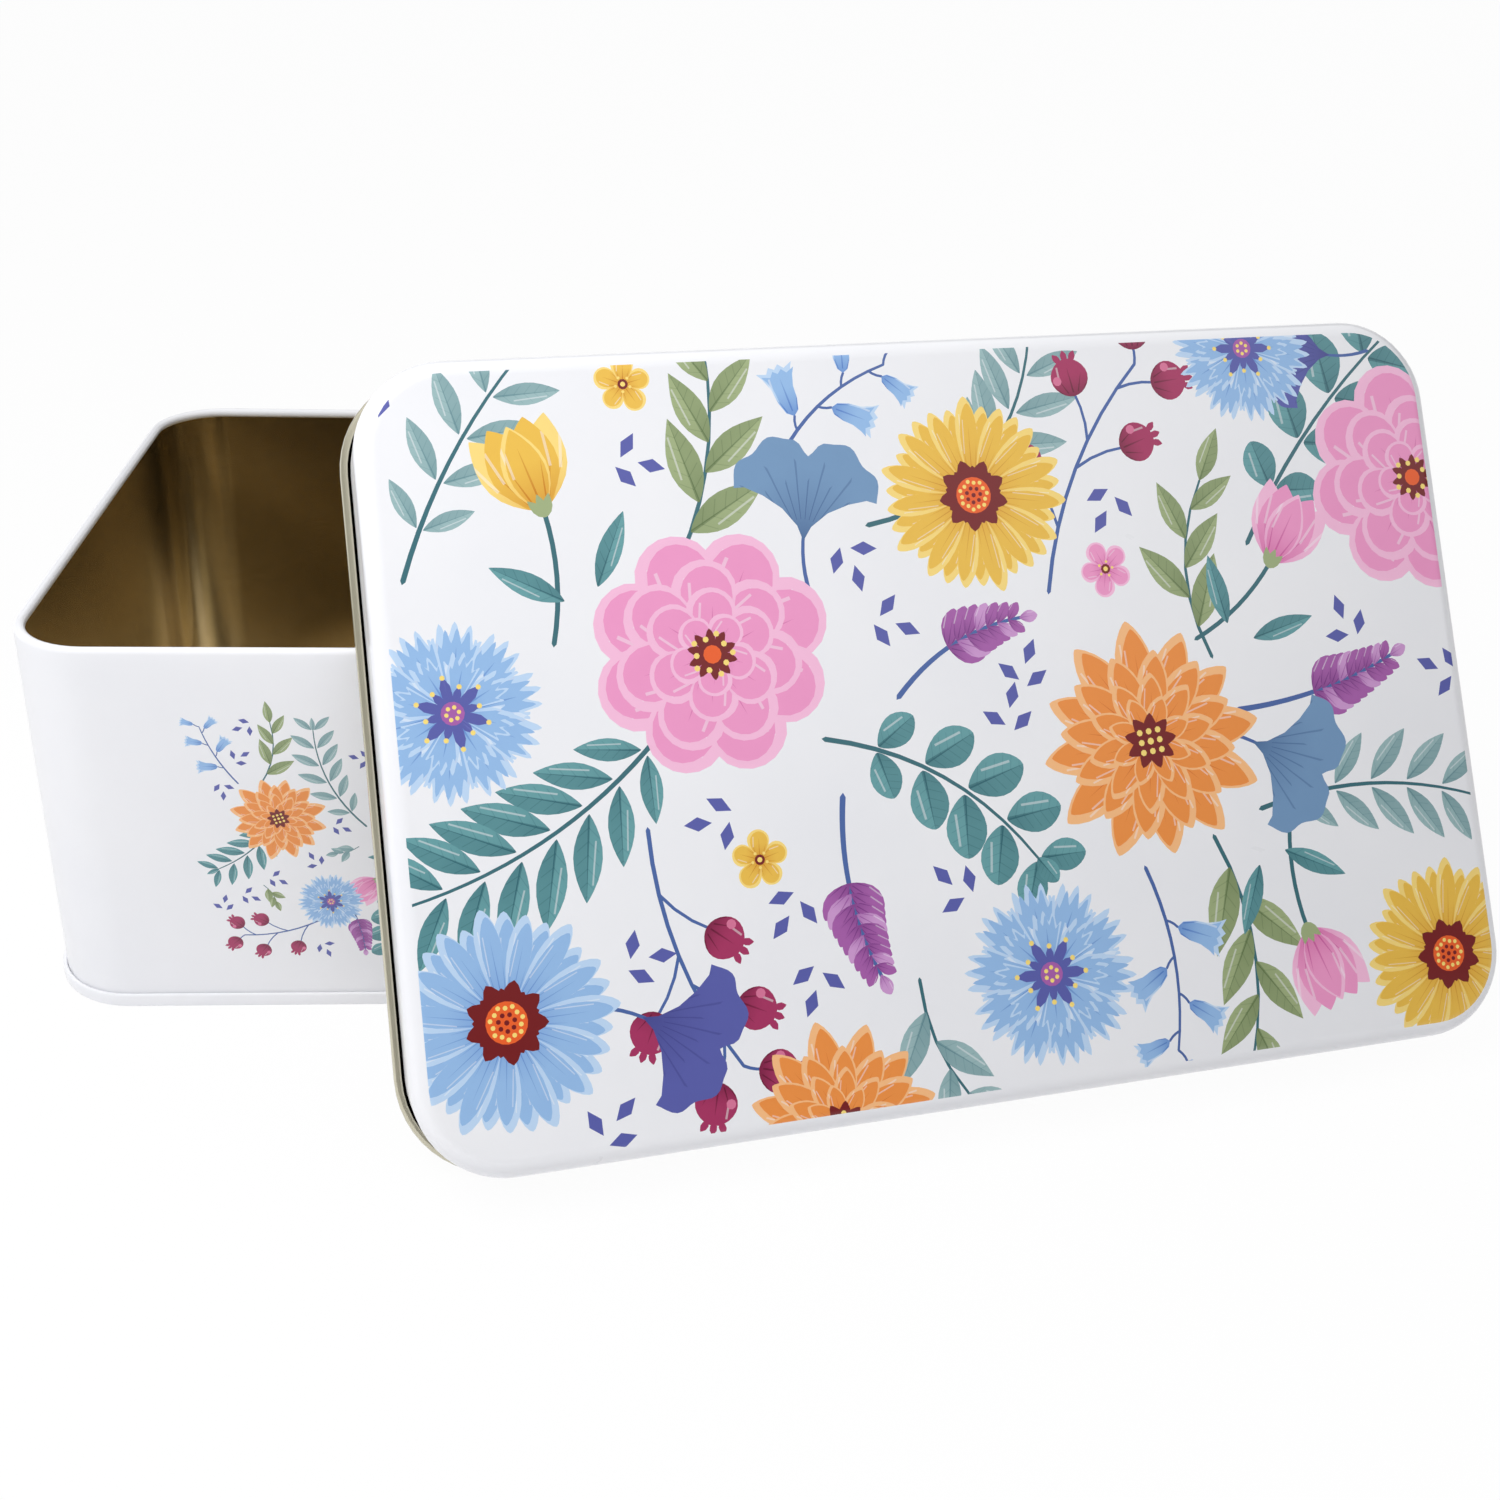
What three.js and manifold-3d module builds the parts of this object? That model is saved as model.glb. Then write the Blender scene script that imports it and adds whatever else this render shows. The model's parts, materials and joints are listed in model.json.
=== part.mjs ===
// Storage tin: a rectangular tinplate box with rounded corners and a lift-off lid.
// The lid is off and leans, face forward, against the front right corner of the open box.
// Millimetres, +Z up. The origin is on the floor, under the middle of the whole arrangement.

import * as THREE from 'three';
import { mergeVertices } from 'three/addons/utils/BufferGeometryUtils.js';
import Module from 'manifold-3d';

const wasm = await Module();
wasm.setup();

// Driving dimensions of the box, measured on the outside of its wall
const boxLength = 198.5;
const boxWidth = 132.2;
const boxHeight = 75;
const boxCornerRadius = 15;
const sheetThickness = 0.25;

// Rim of the box, rolled inwards
const rimCurlDiameter = 2;
const rimCurlEndGap = 0.12;

// Double seam that hooks the bottom plate onto the wall
const seamHeight = 2.7;
const seamLayerGap = 0.05;
const hookEndGap = 0.2;
const panelRise = 3;
const panelBendRadius = 0.6;

// Lock seam that closes the wall strip at the middle of the back
const lockSeamWidth = 5;
const lockSeamInnerLayers = 2;
const lockSeamEndGap = 0.4;

// Lid: it slides over the wall with an even gap
const lidGap = 0.5;
const lidDepth = 18;
const lidEdgeRadius = 3.6;
const lidCurlDiameter = 2.1;
const lidCurlEndGap = 0.6;

// Pose of the lid: turned about Z, leaning back on X, its middle this far along the box
const lidYawDegrees = 11.2;
const lidLeanDegrees = 58.3;
const lidAlong = 67.7;
const lidSeatGap = 0.3;

// Steps that round a corner of the plan, a curl and a bend of the sheet
const cornerSteps = 12;
const curlSteps = 12;
const hookSteps = 4;
const bendSteps = 3;

const whiteLacquer = { color: 0xf0f0f3, roughness: 0.32, metalness: 0.1 };
const goldLacquer = { color: 0x8c7442, roughness: 0.35, metalness: 0.85 };

// A profile point holds the distance out from the wall's outer face, then the height.
function profilePoint(out, height) {
	return new THREE.Vector2(out, height);
}

function arcPoints(centre, radius, fromDegrees, toDegrees, steps) {
	const points = [];
	for (let step = 0; step <= steps; step++) {
		const angle = THREE.MathUtils.degToRad(THREE.MathUtils.lerp(fromDegrees, toDegrees, step / steps));
		points.push(profilePoint(centre.x + radius * Math.cos(angle), centre.y + radius * Math.sin(angle)));
	}
	return points;
}

// Angle between a curl's start on the wall and its free end, which stops short of the wall
function curlEndAngle(curlRadius, endGap) {
	const reach = (curlRadius - sheetThickness - endGap) / curlRadius;
	return THREE.MathUtils.radToDeg(Math.acos(reach));
}

// The outline of a sheet whose middle line is the given path, as one closed loop
function thicken(path) {
	const near = [];
	const far = [];
	path.forEach((point, index) => {
		const before = path[Math.max(index - 1, 0)];
		const after = path[Math.min(index + 1, path.length - 1)];
		const arriving = index > 0 ? point.clone().sub(before).normalize() : null;
		const leaving = index < path.length - 1 ? after.clone().sub(point).normalize() : null;
		const first = arriving ?? leaving;
		const second = leaving ?? arriving;
		const normal = new THREE.Vector2(first.y + second.y, -first.x - second.x).normalize();
		const mitre = sheetThickness / 2 / Math.abs(normal.dot(new THREE.Vector2(first.y, -first.x)));
		near.push(point.clone().addScaledVector(normal, mitre));
		far.push(point.clone().addScaledVector(normal, -mitre));
	});
	return [...near, ...far.reverse()];
}

// Stations round a rectangle with rounded corners: a corner's centre and the way out from it
function planStations(length, width, cornerRadius) {
	const stations = [];
	const corners = [[1, 1], [-1, 1], [-1, -1], [1, -1]];
	corners.forEach(([sideX, sideY], quarter) => {
		const centreX = sideX * (length / 2 - cornerRadius);
		const centreY = sideY * (width / 2 - cornerRadius);
		for (let step = 0; step <= cornerSteps; step++) {
			const angle = (quarter + step / cornerSteps) * Math.PI / 2;
			stations.push({ centreX, centreY, wayX: Math.cos(angle), wayY: Math.sin(angle), cornerRadius });
		}
	});
	return stations;
}

// Carries a sheet's outline round the plan. A panelled sheet starts and ends at the edge of its
// flat panel, which is then closed above and below.
function sweepSheet(outline, stations, panelled) {
	const positions = [];
	const indices = [];
	const count = outline.length;
	for (const station of stations) {
		for (const point of outline) {
			const reach = station.cornerRadius + point.x;
			positions.push(station.centreX + reach * station.wayX, station.centreY + reach * station.wayY, point.y);
		}
	}
	const strips = panelled ? count - 1 : count;
	stations.forEach((station, index) => {
		const here = index * count;
		const next = ((index + 1) % stations.length) * count;
		for (let point = 0; point < strips; point++) {
			const following = (point + 1) % count;
			indices.push(here + point, next + point, next + following);
			indices.push(here + point, next + following, here + following);
		}
	});
	if (panelled) {
		const under = positions.length / 3;
		positions.push(0, 0, outline[0].y, 0, 0, outline[count - 1].y);
		stations.forEach((station, index) => {
			const here = index * count;
			const next = ((index + 1) % stations.length) * count;
			indices.push(under, next, here);
			indices.push(under + 1, here + count - 1, next + count - 1);
		});
	}
	const geometry = new THREE.BufferGeometry();
	geometry.setAttribute('position', new THREE.Float32BufferAttribute(positions, 3));
	geometry.setIndex(indices);
	return geometry;
}

function solidOf(geometry) {
	const bare = geometry.clone();
	bare.deleteAttribute('normal');
	bare.deleteAttribute('uv');
	const merged = mergeVertices(bare);
	return new wasm.Manifold(new wasm.Mesh({
		numProp: 3,
		vertProperties: merged.attributes.position.array,
		triVerts: Uint32Array.from(merged.index.array),
	}));
}

function geometryOf(solid) {
	const mesh = solid.getMesh();
	const geometry = new THREE.BufferGeometry();
	geometry.setAttribute('position', new THREE.BufferAttribute(mesh.vertProperties, 3));
	geometry.setIndex(new THREE.BufferAttribute(mesh.triVerts, 1));
	return geometry;
}

function namedMesh(name, geometry, finish) {
	geometry.computeVertexNormals();
	const mesh = new THREE.Mesh(geometry, new THREE.MeshStandardMaterial(finish));
	mesh.name = name;
	return mesh;
}

// The five layers of the double seam lie one pitch apart, counted out from the wall
const layerPitch = sheetThickness + seamLayerGap;
const wallLine = -sheetThickness / 2;
const seamLayers = {
	chuckWall: wallLine - layerPitch,
	wall: wallLine,
	plateHook: wallLine + layerPitch,
	wallHook: wallLine + 2 * layerPitch,
	seamingWall: wallLine + 3 * layerPitch,
};
const plateLine = sheetThickness / 2;
const wallHookTurn = plateLine + layerPitch + layerPitch;
const plateHookTurn = seamHeight - sheetThickness / 2 - layerPitch;

function bodyWall() {
	const curlRadius = rimCurlDiameter / 2;
	const curlLine = curlRadius - sheetThickness / 2;
	const curlCentre = profilePoint(-curlRadius, boxHeight - curlRadius);
	const hookCentre = profilePoint((seamLayers.wall + seamLayers.wallHook) / 2, wallHookTurn);
	const path = [
		...arcPoints(curlCentre, curlLine, 360 - curlEndAngle(curlRadius, rimCurlEndGap), 0, curlSteps),
		...arcPoints(hookCentre, layerPitch, 180, 360, hookSteps),
		profilePoint(seamLayers.wallHook, plateHookTurn - hookEndGap),
	];
	const ring = sweepSheet(thicken(path), planStations(boxLength, boxWidth, boxCornerRadius), false);

	const seamBottom = panelRise + sheetThickness + lockSeamEndGap;
	const seamTop = boxHeight - rimCurlDiameter - lockSeamEndGap;
	const seamDepth = (lockSeamInnerLayers + 1 / 2) * sheetThickness;
	const lockSeam = new THREE.BoxGeometry(lockSeamWidth, seamDepth, seamTop - seamBottom);
	const seamMiddle = boxWidth / 2 - sheetThickness / 2 - seamDepth / 2;
	lockSeam.translate(0, seamMiddle, (seamTop + seamBottom) / 2);
	return geometryOf(solidOf(ring).add(solidOf(lockSeam)));
}

function bottomPlate() {
	const panelLine = panelRise + plateLine;
	const panelBend = profilePoint(seamLayers.chuckWall - panelBendRadius, panelLine - panelBendRadius);
	const footBend = seamLayers.chuckWall + layerPitch;
	const outerBend = seamLayers.seamingWall - layerPitch;
	const hookCentre = profilePoint((seamLayers.plateHook + seamLayers.seamingWall) / 2, plateHookTurn);
	const path = [
		...arcPoints(panelBend, panelBendRadius, 90, 0, bendSteps),
		...arcPoints(profilePoint(footBend, plateLine + layerPitch), layerPitch, 180, 270, bendSteps),
		...arcPoints(profilePoint(outerBend, plateLine + layerPitch), layerPitch, 270, 360, bendSteps),
		...arcPoints(hookCentre, layerPitch, 0, 180, hookSteps),
		profilePoint(seamLayers.plateHook, wallHookTurn + hookEndGap),
	];
	return sweepSheet(thicken(path), planStations(boxLength, boxWidth, boxCornerRadius), true);
}

function lidShell() {
	const grow = lidGap + sheetThickness;
	const curlRadius = lidCurlDiameter / 2;
	const curlLine = curlRadius - sheetThickness / 2;
	const edgeCentre = profilePoint(-lidEdgeRadius, -lidEdgeRadius);
	const curlCentre = profilePoint(curlLine + wallLine, curlRadius - lidDepth);
	const path = [
		...arcPoints(edgeCentre, lidEdgeRadius - sheetThickness / 2, 90, 0, 2 * bendSteps),
		...arcPoints(curlCentre, curlLine, 180, 540 - curlEndAngle(curlRadius, lidCurlEndGap), curlSteps),
	];
	const stations = planStations(boxLength + 2 * grow, boxWidth + 2 * grow, boxCornerRadius + grow);
	return sweepSheet(thicken(path), stations, true);
}

// The furthest and nearest that a geometry reaches along a direction
function reachAlong(geometry, direction) {
	const position = geometry.attributes.position;
	const point = new THREE.Vector3();
	let least = Infinity;
	let most = -Infinity;
	for (let index = 0; index < position.count; index++) {
		const along = point.fromBufferAttribute(position, index).dot(direction);
		least = Math.min(least, along);
		most = Math.max(most, along);
	}
	return { least, most };
}

const box = new THREE.Group();
const wall = namedMesh('body_wall', bodyWall(), whiteLacquer);
box.add(wall, namedMesh('bottom_plate', bottomPlate(), goldLacquer));

// The lid stands on the curl of its long side, and the rim's corner rests inside its hollow.
const lidPose = new THREE.Group();
const lid = namedMesh('lid', lidShell(), whiteLacquer);
lidPose.rotation.set(THREE.MathUtils.degToRad(lidLeanDegrees), 0, THREE.MathUtils.degToRad(lidYawDegrees), 'ZXY');
lidPose.add(lid);
const up = new THREE.Vector3(0, 0, 1);
const faceNormal = up.clone().applyEuler(lidPose.rotation);
const floorWay = up.clone().applyQuaternion(lidPose.quaternion.clone().invert());
const lidRise = -reachAlong(lid.geometry, floorWay).least;
const faceReach = reachAlong(wall.geometry, faceNormal).most + sheetThickness + lidSeatGap;
const lidBack = (faceReach - faceNormal.x * lidAlong - faceNormal.z * lidRise) / faceNormal.y;
lidPose.position.set(lidAlong, lidBack, lidRise);

const arrangement = new THREE.Group();
arrangement.add(box, lidPose);
const middle = new THREE.Box3().setFromObject(arrangement, true).getCenter(new THREE.Vector3());
arrangement.position.set(-middle.x, -middle.y, 0);

const group = new THREE.Group();
group.name = 'storage_tin';
group.add(arrangement);

export default group;
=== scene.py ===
import bpy
import cmath
import json
import math
import random
from mathutils import Matrix, Vector
from mathutils.geometry import delaunay_2d_cdt


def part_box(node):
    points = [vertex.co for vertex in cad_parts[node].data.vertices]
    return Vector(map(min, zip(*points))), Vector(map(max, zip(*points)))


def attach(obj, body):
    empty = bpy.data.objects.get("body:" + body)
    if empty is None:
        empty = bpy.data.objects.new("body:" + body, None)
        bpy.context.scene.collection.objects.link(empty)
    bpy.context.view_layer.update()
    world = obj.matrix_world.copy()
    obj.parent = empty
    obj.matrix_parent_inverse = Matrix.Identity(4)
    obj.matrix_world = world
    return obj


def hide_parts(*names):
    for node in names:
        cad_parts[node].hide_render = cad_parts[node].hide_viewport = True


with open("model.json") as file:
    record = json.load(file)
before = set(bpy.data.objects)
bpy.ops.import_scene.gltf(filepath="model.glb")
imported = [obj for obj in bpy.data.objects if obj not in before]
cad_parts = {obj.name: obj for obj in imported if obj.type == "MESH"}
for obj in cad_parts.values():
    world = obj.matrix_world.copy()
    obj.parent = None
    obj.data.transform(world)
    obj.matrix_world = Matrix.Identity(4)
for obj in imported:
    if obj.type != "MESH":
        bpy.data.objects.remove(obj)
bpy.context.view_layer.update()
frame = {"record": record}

mm = 0.001

# The view: a place in metres, turns in radians, and the lens that the picture was taken with
view = {
    "place": (-0.03246, -0.29986, 0.20437),
    "turnLeft": -0.0639,
    "lookDown": 0.4621,
    "tilt": 0.032,
    "lensMm": 40.49,
    "sensorMm": 36,
    "clipStart": 0.01,
    "shiftRight": 0.0419,
    "shiftUp": -0.0596,
}


def placeCamera():
    camera = bpy.data.objects.new("camera", bpy.data.cameras.new("camera"))
    bpy.context.scene.collection.objects.link(camera)
    camera.data.sensor_width = view["sensorMm"]
    camera.data.lens = view["lensMm"]
    camera.data.shift_x = view["shiftRight"]
    camera.data.shift_y = view["shiftUp"]
    camera.data.clip_start = view["clipStart"]
    turn = Matrix.Rotation(view["turnLeft"], 4, "Z")
    turn = turn @ Matrix.Rotation(math.pi / 2 - view["lookDown"], 4, "X")
    turn = turn @ Matrix.Rotation(view["tilt"], 4, "Z")
    camera.matrix_world = Matrix.Translation(view["place"]) @ turn
    bpy.context.scene.camera = camera


placeCamera()
print("camera placed")


# Shader maths: a wire is a socket that can stand in a sum, and each sum adds a Math node.
class Wire:
    def __init__(self, finish, socket):
        self.finish = finish
        self.socket = socket

    def maths(self, operation, *values):
        return self.finish.node("ShaderNodeMath", {"operation": operation}, dict(enumerate(values)))

    def __add__(self, other):
        return self.maths("ADD", self, other)

    def __radd__(self, other):
        return self.maths("ADD", other, self)

    def __sub__(self, other):
        return self.maths("SUBTRACT", self, other)

    def __rsub__(self, other):
        return self.maths("SUBTRACT", other, self)

    def __mul__(self, other):
        return self.maths("MULTIPLY", self, other)

    def __rmul__(self, other):
        return self.maths("MULTIPLY", other, self)

    def __truediv__(self, other):
        return self.maths("DIVIDE", self, other)

    def __rtruediv__(self, other):
        return self.maths("DIVIDE", other, self)

    def __pow__(self, other):
        return self.maths("POWER", self, other)

    def __rpow__(self, other):
        return self.maths("POWER", other, self)

    def __gt__(self, other):
        return self.maths("GREATER_THAN", self, other)

    def __lt__(self, other):
        return self.maths("LESS_THAN", self, other)

    def __abs__(self):
        return self.maths("ABSOLUTE", self)

    def clamped(self):
        wire = self + 0
        wire.socket.node.use_clamp = True
        return wire


# The nodes of a material or of the world
class Finish:
    def __init__(self, holder):
        self.holder = holder
        holder.use_nodes = True
        self.tree = holder.node_tree
        self.tree.nodes.clear()

    def node(self, kind, settings, sockets, out=0):
        made = self.tree.nodes.new(kind)
        for key, value in settings.items():
            setattr(made, key, value)
        for key, value in sockets.items():
            socket = made.inputs[key]
            if isinstance(value, Wire):
                self.tree.links.new(value.socket, socket)
            elif isinstance(value, tuple) and len(value) == 3 and len(socket.default_value) == 4:
                socket.default_value = (*value, 1)
            else:
                socket.default_value = value
        return Wire(self, made.outputs[out]) if made.outputs else None

    def surface(self, sockets):
        shader = self.node("ShaderNodeBsdfPrincipled", {}, sockets)
        self.node("ShaderNodeOutputMaterial", {}, {"Surface": shader})
        return self.holder

    def mix(self, factor, first, second):
        kind = {"data_type": "RGBA", "clamp_factor": True}
        return self.node("ShaderNodeMix", kind, {0: factor, 6: first, 7: second}, 2)

    def noise(self, place, scale, detail=2, roughness=0.5):
        sockets = {"Vector": place, "Scale": scale, "Detail": detail, "Roughness": roughness}
        return self.node("ShaderNodeTexNoise", {}, sockets, "Fac")

    def objectPlace(self):
        return self.node("ShaderNodeTexCoord", {}, {}, "Object")

    def stretched(self, place, scale):
        return self.node("ShaderNodeVectorMath", {"operation": "MULTIPLY"}, {0: place, 1: scale})

    def attribute(self, name, out):
        return self.node("ShaderNodeAttribute", {"attribute_name": name}, {}, out)

    def axis(self, vector, name):
        return self.node("ShaderNodeSeparateXYZ", {}, {0: vector}, name)

    def ray(self, kind):
        return self.node("ShaderNodeLightPath", {}, {}, kind)

    # The height is in metres.
    def bump(self, height, strength):
        sockets = {"Height": height, "Strength": strength, "Distance": 1.0}
        return self.node("ShaderNodeBump", {}, sockets, "Normal")


def linear(colour):
    return tuple(c / 12.92 if c <= 0.04045 else ((c + 0.055) / 1.055) ** 2.4 for c in colour)


plainStyle, petalStyle, leafStyle, fanStyle = range(4)

# How a shape's tone changes over it. Along runs from 0 at its root to 1 at its tip, and across from
# -1 at one edge to 1 at the other.
petalTone = {
    "heartReach": 0.62,
    "heartSlope": 1.7,
    "heartCurve": 1.4,
    "heartDepth": 0.7,
    "streaks": 1.2,
    "streakOrigin": 0.22,
    "streakStart": 0.1,
    "streakReach": 0.78,
    "streakLoss": 0.3,
    "streakWidth": 0.2,
    "streakDepth": 0.55,
    "shineSide": 0.62,
    "shineLean": 0.1,
    "shineWidth": 0.05,
    "shineEnds": (0.45, 0.82),
}
leafTone = {
    "halfDepth": 0.36,
    "heartReach": 0.5,
    "heartSlope": 0.5,
    "ribReach": 1.05,
    "ribWidth": 0.085,
    "ribDepth": 0.55,
    "veins": 6.5,
    "veinSlant": 0.16,
    "veinWidth": 0.045,
    "veinReach": 0.75,
    "veinDepth": 0.26,
    "shineSide": 0.58,
    "shineLean": 0.25,
    "shineWidth": 0.06,
    "shineEnds": (0.3, 0.8),
}
fanTone = {
    "heartReach": 0.7,
    "heartSlope": 1.5,
    "heartCurve": 1.5,
    "heartDepth": 0.85,
    "rays": 5.2,
    "rayWobble": 0.25,
    "wobbleScale": 90,
    "rayWidth": 0.07,
    "rayStart": 0.2,
    "rayReach": 0.78,
    "rayLoss": 0.5,
    "longRays": 2.6,
    "rayDepth": 0.5,
}
wash = {
    "scale": 160,
    "depth": 0.18,
    "shineColour": (0.97, 0.97, 0.98),
    "shine": 0.35,
}


# How far a number is from the half between two whole ones
def nearWhole(value):
    return abs(value.maths("FRACT", value) - 0.5)


# A thin light line along one side of a petal or a leaf
def shineLine(along, across, tone):
    onLine = abs(across - tone["shineSide"] + along * tone["shineLean"]) < tone["shineWidth"]
    start, stop = tone["shineEnds"]
    return onLine * (along > start) * (along < stop)


# Deeper towards the root, with thin streaks that spread from there and end in points
def petalDepth(along, across):
    tone = petalTone
    heart = ((tone["heartReach"] - along) * tone["heartSlope"]).clamped() ** tone["heartCurve"]
    spread = across / (along + tone["streakOrigin"])
    width = (tone["streakReach"] - along - abs(across) * tone["streakLoss"]) * tone["streakWidth"]
    streaks = ((0.5 - nearWhole(spread * tone["streaks"])) < width) * (along > tone["streakStart"])
    return heart * tone["heartDepth"] + streaks * tone["streakDepth"]


# One half deeper, a thin midrib and slanting veins
def leafDepth(along, across):
    tone = leafTone
    rib = abs(across) < (tone["ribReach"] - along) * tone["ribWidth"]
    slant = (along - abs(across) * tone["veinSlant"]) * tone["veins"]
    veins = ((0.5 - nearWhole(slant)) < tone["veinWidth"]) * (abs(across) < tone["veinReach"])
    heart = ((tone["heartReach"] - along) * tone["heartSlope"]).clamped()
    depth = (across < 0) * tone["halfDepth"] + rib * tone["ribDepth"]
    return depth + veins * tone["veinDepth"] + heart


# Rays that run out from the root, every other one longer, with a deeper heart
def fanDepth(finish, along, across):
    tone = fanTone
    angle = across.maths("ARCTAN2", across, along)
    reach = (along * along + across * across) ** 0.5
    wobble = finish.noise(finish.objectPlace(), tone["wobbleScale"]) * tone["rayWobble"]
    rays = (0.5 - nearWhole(angle * tone["rays"] + wobble)) < tone["rayWidth"]
    stop = tone["rayReach"] - nearWhole(angle * tone["longRays"]) * tone["rayLoss"]
    rays = rays * (reach < stop) * (reach > tone["rayStart"])
    heart = ((tone["heartReach"] - reach) * tone["heartSlope"]).clamped() ** tone["heartCurve"]
    return heart * tone["heartDepth"] + rays * tone["rayDepth"]


def inkLayer(finish, paper):
    ink = finish.attribute("inkColour", "Color")
    deep = finish.attribute("deepColour", "Color")
    inked = finish.attribute("inkColour", "Alpha")
    place = finish.attribute("inkPlace", "Vector")
    along, across, style = (finish.axis(place, name) for name in "XYZ")

    def isStyle(number):
        return abs(style - number) < 0.5

    isPetal, isLeaf = isStyle(petalStyle), isStyle(leafStyle)
    depth = isPetal * petalDepth(along, across) + isLeaf * leafDepth(along, across)
    depth = depth + isStyle(fanStyle) * fanDepth(finish, along, across)
    washed = (finish.noise(finish.objectPlace(), wash["scale"], 4) - 0.5) * wash["depth"]
    tone = finish.mix((depth + washed * (style > plainStyle + 0.5)).clamped(), ink, deep)
    shine = isPetal * shineLine(along, across, petalTone)
    shine = shine + isLeaf * shineLine(along, across, leafTone)
    shone = finish.mix(shine * wash["shine"], tone, linear(wash["shineColour"]))
    return finish.mix(inked, paper, shone)


lacquer = {
    "white": (0.955, 0.955, 0.965),
    "greyed": (0.915, 0.92, 0.94),
    "greyScale": 30,
    "roughness": 0.25,
    "smearRoughness": 0.1,
    "smearScale": 60,
    "smearStretch": (1, 6, 1),
    "specular": 0.45,
    "coat": 0.35,
    "coatRoughness": 0.12,
    "peelScale": 900,
    "peelDepth": 0.00001,
    "waveScale": 14,
    "waveDepth": 0.00035,
    "bump": 0.35,
}


def lacquerFinish(name, printed):
    finish = Finish(bpy.data.materials.new(name))
    place = finish.objectPlace()
    greyed = finish.noise(place, lacquer["greyScale"], 3)
    paper = finish.mix(greyed, linear(lacquer["white"]), linear(lacquer["greyed"]))
    peel = finish.noise(place, lacquer["peelScale"])
    wave = finish.noise(place, lacquer["waveScale"], 1)
    smear = finish.noise(finish.stretched(place, lacquer["smearStretch"]), lacquer["smearScale"], 4)
    height = peel * lacquer["peelDepth"] + wave * lacquer["waveDepth"]
    return finish.surface({
        "Base Color": inkLayer(finish, paper) if printed else paper,
        "Roughness": smear * lacquer["smearRoughness"] + lacquer["roughness"],
        "Specular IOR Level": lacquer["specular"],
        "Coat Weight": lacquer["coat"],
        "Coat Roughness": lacquer["coatRoughness"],
        "Normal": finish.bump(height, lacquer["bump"]),
    })


# Each tone: its darker and its lighter colour, and how metallic it is
gold = {
    "box": ((0.83, 0.76, 0.61), (0.91, 0.85, 0.72), 1.0),
    "lid": ((0.74, 0.72, 0.63), (0.81, 0.79, 0.71), 0.5),
    # rolled: near-black, painted shade for the inside of the lid's roll, seen in the groove by the
    # skirt
    "rolled": ((0.20, 0.19, 0.15), (0.30, 0.28, 0.22), 0.9),
    "blotchScale": 22,
    "blotchContrast": 1.6,
    "roughness": 0.09,
    "blotchRoughness": 0.08,
    "rollRoughness": 0.14,
    "coat": 0.5,
    "coatRoughness": 0.1,
    "rollScale": 420,
    "rollDepth": 0.000004,
    "waveScale": 16,
    "waveDepth": 0.0002,
    "bump": 0.5,
}


# The lines that rolling left in the sheet are this much finer up the wall, or across a panel
upGrain, acrossGrain = (1, 1, 14), (1, 14, 1)


def goldFinish(name, tone, grain):
    finish = Finish(bpy.data.materials.new(name))
    dark, bright, metallic = gold[tone]
    place = finish.objectPlace()
    rolled = finish.noise(finish.stretched(place, grain), gold["rollScale"], 3)
    blotch = finish.noise(place, gold["blotchScale"], 4, 0.6)
    wave = finish.noise(place, gold["waveScale"], 1)
    brightness = ((blotch - 0.5) * gold["blotchContrast"] + 0.5).clamped()
    height = rolled * gold["rollDepth"] + wave * gold["waveDepth"]
    return finish.surface({
        "Base Color": finish.mix(brightness, linear(dark), linear(bright)),
        "Metallic": metallic,
        "Roughness": (
            rolled * gold["rollRoughness"] + blotch * gold["blotchRoughness"] + gold["roughness"]
        ),
        "Coat Weight": gold["coat"],
        "Coat Roughness": gold["coatRoughness"],
        "Normal": finish.bump(height, gold["bump"]),
    })


# Sheet metal: a path's points hold the distance out from the wall's outer face, and the height
sheet = {
    "thickness": 0.25 * mm,
    "cornerSteps": 12,
    "curlSteps": 28,
    "hookSteps": 8,
    "bendSteps": 6,
    "edgeSteps": 6,
    "endSteps": 3,
}


def arcPath(centre, radius, start, stop, steps):
    angles = [math.radians(start + (stop - start) * step / steps) for step in range(steps + 1)]
    x, y = centre
    return [Vector((x + radius * math.cos(a), y + radius * math.sin(a))) for a in angles]


# The outline of a sheet round its middle line: near side, rounded end, far side, rounded start.
# Each point comes with 1 on the near side, to the right of the path, and 0 on the far side.
def sheetOutline(path, closedStart=True):
    half = sheet["thickness"] / 2
    near, far = [], []
    for index, point in enumerate(path):
        arriving = (point - path[index - 1]).normalized() if index else None
        leaving = (path[index + 1] - point).normalized() if index + 1 < len(path) else None
        first, second = arriving or leaving, leaving or arriving
        side = Vector((first.y + second.y, -first.x - second.x)).normalized()
        reach = half / side.dot(Vector((first.y, -first.x)))
        near.append((point + side * reach, 1))
        far.append((point - side * reach, 0))

    def roundEnd(point, way):
        out = math.degrees(math.atan2(way.y, way.x))
        arc = arcPath(point, half, out - 90, out + 90, 2 * sheet["endSteps"])
        return [(spot, 1 if step < sheet["endSteps"] else 0) for step, spot in enumerate(arc[1:-1])]

    stop = roundEnd(path[-1], path[-1] - path[-2])
    start = roundEnd(path[0], path[0] - path[1]) if closedStart else []
    return near + stop + far[::-1] + [(spot, 1 - side) for spot, side in start]


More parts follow.
